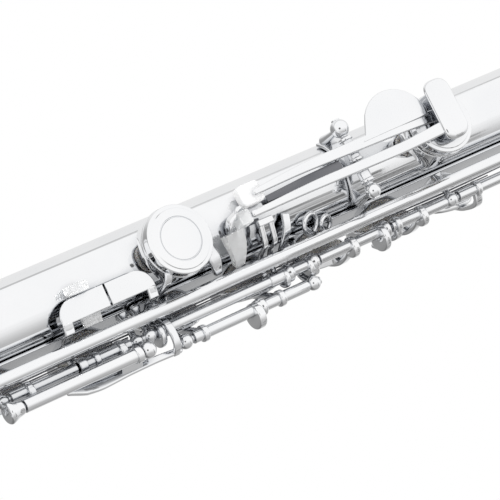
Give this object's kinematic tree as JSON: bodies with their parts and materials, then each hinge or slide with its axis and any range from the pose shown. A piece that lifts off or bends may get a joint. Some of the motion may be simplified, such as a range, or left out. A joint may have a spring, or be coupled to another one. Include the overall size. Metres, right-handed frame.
{
  "type": "concert flute",
  "caption": "Side-blown silver concert flute with padded key cups on hinge rods, offset G, thumb keys and a C foot joint.",
  "frame": {"origin": "centre of the crown's flat end face, on the bore axis", "axes": "+X along the bore from the crown to the foot, +Z towards the key cups, -Y towards the player's side with the hinge rods"},
  "size_m": [0.67, 0.0438, 0.0431],
  "materials": {
    "silver": "polished silver plate",
    "steel": "ground steel",
    "pad_skin": "thin skin over felt",
    "cork": "natural cork",
    "felt": "white felt",
    "clear_rubber": "translucent soft plastic"
  },
  "bodies": {
    "body": {"body_tube": "silver", "barrel": "silver", "left_hand_rib": "silver", "right_hand_rib": "silver", "trill_rib_head": "silver", "trill_rib_foot": "silver", "thumb_saddle": "silver", "thumb_steel": "steel", "right_steel": "steel", "offset_g_steel": "steel", "g_sharp_steel": "steel"},
    "head": {"head_tube": "silver", "lip_plate": "silver", "riser": "silver"},
    "crown_cap": {"crown": "silver"},
    "stopper": {"stopper_screw": "silver", "stopper_cork": "cork", "stopper_nut": "silver"},
    "foot": {"foot_tube": "silver", "foot_rib": "silver", "foot_steel": "steel"},
    "c_sharp": {"c_sharp_key": "silver", "c_sharp_pad": "pad_skin"},
    "a_sharp": {"a_sharp_key": "silver", "a_sharp_pad": "pad_skin", "main_steel": "steel", "link_sleeve": "silver"},
    "a": {"a_key": "silver", "a_pad": "pad_skin"},
    "g": {"g_key": "silver", "g_upper_pad": "pad_skin", "g_lower_pad": "pad_skin"},
    "g_sharp": {"g_sharp_key": "silver", "g_sharp_pad": "pad_skin"},
    "thumb_b": {"thumb_b_key": "silver", "thumb_pad": "pad_skin", "thumb_stop_felt": "felt"},
    "thumb_b_flat": {"thumb_b_flat_lever": "silver", "kicker_bumper": "clear_rubber"},
    "f_sharp": {"f_sharp_key": "silver", "f_sharp_pad": "pad_skin", "link_bumper": "clear_rubber"},
    "f": {"f_key": "silver", "f_pad": "pad_skin"},
    "e": {"e_key": "silver", "e_pad": "pad_skin"},
    "d": {"d_key": "silver", "d_pad": "pad_skin"},
    "d_trill": {"d_trill_key": "silver", "d_trill_pad": "pad_skin"},
    "ds_trill": {"ds_trill_key": "silver", "ds_trill_pad": "pad_skin"},
    "foot_ds": {"foot_ds_key": "silver", "foot_ds_pad": "pad_skin"},
    "foot_cs": {"foot_cs_key": "silver", "foot_cs_pad": "pad_skin"},
    "foot_c": {"foot_c_key": "silver", "foot_c_pad": "pad_skin"}
  },
  "joints": [
    {"name": "head_tuning_slide", "type": "slide", "parent": "body", "child": "head", "axis": [1, 0, 0], "range_m": [-0.01, 0]},
    {"name": "crown_turn", "type": "hinge", "parent": "head", "child": "crown_cap", "pos_m": [0.006, 0, 0], "axis": [1, 0, 0], "range_deg": [-360, 360]},
    {"name": "stopper_shift", "type": "slide", "parent": "head", "child": "stopper", "axis": [1, 0, 0], "range_m": [-0.001, 0.001]},
    {"name": "foot_turn", "type": "hinge", "parent": "body", "child": "foot", "pos_m": [0.5415, 0, 0], "axis": [1, 0, 0], "range_deg": [-20, 20]},
    {"name": "c_sharp_press", "type": "hinge", "parent": "body", "child": "c_sharp", "pos_m": [0.3186, -0.01393, 0.01128], "axis": [1, 0, 0], "range_deg": [-9.3, 0], "stiffness_Nm_per_rad": 0.02, "springref_deg": 11.46},
    {"name": "a_sharp_press", "type": "hinge", "parent": "body", "child": "a_sharp", "pos_m": [0.3523, -0.01393, 0.01128], "axis": [1, 0, 0], "range_deg": [-9.3, 0], "stiffness_Nm_per_rad": 0.02, "springref_deg": 11.46},
    {"name": "a_press", "type": "hinge", "parent": "body", "child": "a", "pos_m": [0.3743, -0.01393, 0.01128], "axis": [1, 0, 0], "range_deg": [-9.3, 0], "stiffness_Nm_per_rad": 0.02, "springref_deg": 11.46},
    {"name": "g_press", "type": "hinge", "parent": "body", "child": "g", "pos_m": [0.40985, -0.01636, 0.01543], "axis": [1, 0, 0], "range_deg": [-7.6, 0], "stiffness_Nm_per_rad": 0.02, "springref_deg": 11.46},
    {"name": "g_sharp_lift", "type": "hinge", "parent": "body", "child": "g_sharp", "pos_m": [0.46, -0.01838, 0.0122], "axis": [1, 0, 0], "range_deg": [-5.7, 0], "stiffness_Nm_per_rad": 0.02, "springref_deg": 11.46},
    {"name": "thumb_b_press", "type": "hinge", "parent": "body", "child": "thumb_b", "pos_m": [0.368, -0.00985, -0.01111], "axis": [0, -0.5878, 0.809], "range_deg": [-4, 0], "stiffness_Nm_per_rad": 0.03, "springref_deg": 11.46},
    {"name": "thumb_b_flat_press", "type": "hinge", "parent": "body", "child": "thumb_b_flat", "pos_m": [0.368, -0.01373, -0.00577], "axis": [0, -0.5878, 0.809], "range_deg": [-4, 0], "stiffness_Nm_per_rad": 0.03, "springref_deg": 11.46},
    {"name": "f_sharp_press", "type": "hinge", "parent": "body", "child": "f_sharp", "pos_m": [0.4519, -0.01393, 0.01128], "axis": [1, 0, 0], "range_deg": [-9.3, 0], "stiffness_Nm_per_rad": 0.02, "springref_deg": 11.46},
    {"name": "f_press", "type": "hinge", "parent": "body", "child": "f", "pos_m": [0.46935, -0.01393, 0.01128], "axis": [1, 0, 0], "range_deg": [-9.3, 0], "stiffness_Nm_per_rad": 0.02, "springref_deg": 11.46},
    {"name": "e_press", "type": "hinge", "parent": "body", "child": "e", "pos_m": [0.49945, -0.01393, 0.01128], "axis": [1, 0, 0], "range_deg": [-9.3, 0], "stiffness_Nm_per_rad": 0.02, "springref_deg": 11.46},
    {"name": "d_press", "type": "hinge", "parent": "body", "child": "d", "pos_m": [0.52865, -0.01393, 0.01128], "axis": [1, 0, 0], "range_deg": [-9.3, 0], "stiffness_Nm_per_rad": 0.02, "springref_deg": 11.46},
    {"name": "d_trill_lift", "type": "hinge", "parent": "body", "child": "d_trill", "pos_m": [0.38, -0.01469, 0.0059], "axis": [1, 0, 0], "range_deg": [0, 9], "stiffness_Nm_per_rad": 0.02, "springref_deg": -11.46},
    {"name": "ds_trill_lift", "type": "hinge", "parent": "body", "child": "ds_trill", "pos_m": [0.39, -0.01469, 0.0059], "axis": [1, 0, 0], "range_deg": [0, 9], "stiffness_Nm_per_rad": 0.02, "springref_deg": -11.46},
    {"name": "foot_ds_lift", "type": "hinge", "parent": "foot", "child": "foot_ds", "pos_m": [0.5709, -0.01393, 0.01128], "axis": [1, 0, 0], "range_deg": [0, 9.3], "stiffness_Nm_per_rad": 0.02, "springref_deg": -11.46},
    {"name": "foot_cs_press", "type": "hinge", "parent": "foot", "child": "foot_cs", "pos_m": [0.59535, -0.01393, 0.01128], "axis": [1, 0, 0], "range_deg": [-9.3, 0], "stiffness_Nm_per_rad": 0.02, "springref_deg": 11.46},
    {"name": "foot_c_press", "type": "hinge", "parent": "foot", "child": "foot_c", "pos_m": [0.6283, -0.01393, 0.01128], "axis": [1, 0, 0], "range_deg": [-9.3, 0], "stiffness_Nm_per_rad": 0.02, "springref_deg": 11.46}
  ],
  "couplings": [
    {"joint": "stopper_shift", "follows": "crown_turn", "m_per_rad": 0.000159},
    {"joint": "a_sharp_press", "follows": "a_press", "ratio": 1},
    {"joint": "f_sharp_press", "follows": "f_press", "ratio": 1}
  ]
}
